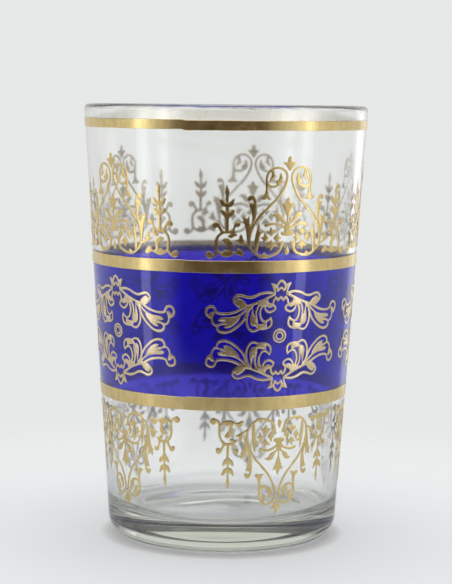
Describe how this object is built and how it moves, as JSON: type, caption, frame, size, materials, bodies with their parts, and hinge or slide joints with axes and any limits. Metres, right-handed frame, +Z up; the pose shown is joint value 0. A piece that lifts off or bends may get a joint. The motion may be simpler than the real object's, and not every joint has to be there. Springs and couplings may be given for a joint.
{
  "type": "tea glass",
  "caption": "Conical clear glass tea tumbler with a heavy base, a blue enamel band edged in gold, and printed gold scrollwork above, on and below the band.",
  "frame": {"origin": "on the table, under the middle of the foot", "axes": "+Z up along the axis of the glass; -Y towards the side that the picture shows; +X to the right from there"},
  "size_m": [0.0584, 0.0584, 0.089],
  "materials": {
    "clear_glass": "fire-polished clear glass with a faint grey-green tint",
    "blue_enamel": "glossy transparent ultramarine enamel, fired on",
    "fired_gold": "bright fired gold with a satin sheen"
  },
  "bodies": {
    "root": {"glass_body": "clear_glass", "blue_band": "blue_enamel", "rim_gold_band": "fired_gold", "upper_gold_band": "fired_gold", "lower_gold_band": "fired_gold", "gold_crest_1": "fired_gold", "gold_crest_2": "fired_gold", "gold_crest_3": "fired_gold", "gold_crest_4": "fired_gold", "gold_crest_5": "fired_gold", "gold_spray_1": "fired_gold", "gold_spray_2": "fired_gold", "gold_spray_3": "fired_gold", "gold_spray_4": "fired_gold", "gold_spray_5": "fired_gold", "gold_pendant_1": "fired_gold", "gold_pendant_2": "fired_gold", "gold_pendant_3": "fired_gold", "gold_pendant_4": "fired_gold", "gold_pendant_5": "fired_gold"}
  },
  "joints": []
}
